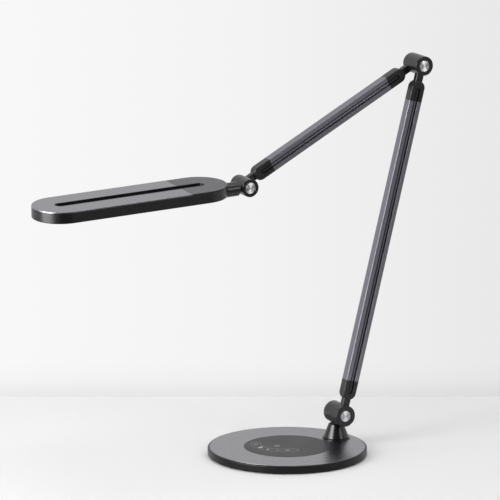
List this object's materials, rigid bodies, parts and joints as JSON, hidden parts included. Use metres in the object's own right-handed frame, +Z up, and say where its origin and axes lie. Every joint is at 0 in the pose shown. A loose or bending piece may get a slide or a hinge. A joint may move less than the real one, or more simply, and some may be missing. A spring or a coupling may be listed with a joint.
{
  "type": "swing arm desk lamp",
  "caption": "Swing arm LED desk lamp: round weighted touch base, conical post, two channelled arms with friction knuckles and a flat slotted head.",
  "frame": {"origin": "centre of the underside of the rubber pad, on the surface that the lamp stands on", "axes": "+Z up; the arms swing in planes parallel to XZ; the post stands near the +X edge of the base and the head reaches towards -X; -Y is the front"},
  "size_m": [0.5182, 0.19, 0.4699],
  "materials": {
    "rubber": "matt black EVA rubber",
    "steel": "zinc plated steel",
    "iron": "bare cast iron",
    "black_plastic": "satin black moulded plastic",
    "black_metal": "satin black painted metal",
    "satin_aluminium": "fine brushed grey aluminium",
    "grey_anodised": "dark grey anodised extrusion",
    "grey_plastic": "grey satin painted plastic",
    "panel_plastic": "dark grey satin touch panel",
    "spun_aluminium": "bright spun face",
    "circuit_board": "green circuit board",
    "led_board": "white circuit board with lamps",
    "opal": "opal acrylic",
    "nylon": "black glass-filled nylon"
  },
  "bodies": {
    "base": {"base_rubber_pad": "rubber", "base_bottom_cover": "steel", "base_weight": "iron", "base_housing": "black_plastic", "base_top_plate": "satin_aluminium", "touch_panel": "panel_plastic", "touch_board": "circuit_board", "power_inlet": "black_plastic", "cover_screw_1": "steel", "cover_screw_2": "steel", "cover_screw_3": "steel", "cover_screw_4": "steel", "post_foot_ring": "black_metal"},
    "post": {"post_turret": "black_metal", "post_swivel_stem": "steel", "post_swivel_washer": "steel", "post_swivel_nut": "steel", "base_joint_bolt": "steel", "base_joint_friction_washer": "nylon", "base_joint_spring_washer": "steel", "base_joint_nut": "steel", "base_joint_rear_cap": "spun_aluminium"},
    "lower_arm": {"lower_arm_base_fitting": "black_plastic", "lower_arm_extrusion": "grey_anodised", "lower_arm_elbow_fitting": "black_plastic", "base_joint_front_cap": "spun_aluminium", "elbow_joint_bolt": "steel", "elbow_joint_friction_washer": "nylon", "elbow_joint_spring_washer": "steel", "elbow_joint_nut": "steel", "elbow_joint_front_cap": "spun_aluminium"},
    "upper_arm": {"upper_arm_elbow_fitting": "black_plastic", "upper_arm_extrusion": "grey_anodised", "upper_arm_head_fitting": "black_plastic", "elbow_joint_rear_cap": "spun_aluminium", "head_joint_bolt": "steel", "head_joint_friction_washer": "nylon", "head_joint_spring_washer": "steel", "head_joint_nut": "steel", "head_joint_rear_cap": "spun_aluminium"},
    "head_knuckle": {"head_stub": "black_metal", "head_joint_front_cap": "spun_aluminium", "head_swivel_pin": "steel", "head_swivel_washer": "nylon", "head_swivel_nut": "steel"},
    "head": {"head_frame": "black_plastic", "head_top_plate": "satin_aluminium", "head_end_cover": "grey_plastic", "head_diffuser": "opal", "led_board_front": "led_board", "led_board_rear": "led_board", "led_board_screw_1": "steel", "led_board_screw_2": "steel", "led_board_screw_3": "steel", "led_board_screw_4": "steel", "end_cover_screw_1": "steel", "end_cover_screw_2": "steel"}
  },
  "joints": [
    {"name": "post_swivel", "type": "hinge", "parent": "base", "child": "post", "pos_m": [0.07, 0.00815, 0.012], "axis": [0, 0, 1], "range_deg": [-90, 90]},
    {"name": "base_tilt", "type": "hinge", "parent": "post", "child": "lower_arm", "pos_m": [0.07, 0, 0.0423], "axis": [0, 1, 0], "range_deg": [-35, 30]},
    {"name": "elbow", "type": "hinge", "parent": "lower_arm", "child": "upper_arm", "pos_m": [0.1741, 0, 0.45827], "axis": [0, 1, 0], "range_deg": [-40, 90]},
    {"name": "head_tilt", "type": "hinge", "parent": "upper_arm", "child": "head_knuckle", "pos_m": [-0.05725, 0, 0.33214], "axis": [0, -1, 0], "range_deg": [-60, 90]},
    {"name": "head_twist", "type": "hinge", "parent": "head_knuckle", "child": "head", "pos_m": [-0.05725, -0.00815, 0.33214], "axis": [-0.9992, 0, -0.0401], "range_deg": [-86.7, 93.3]}
  ]
}
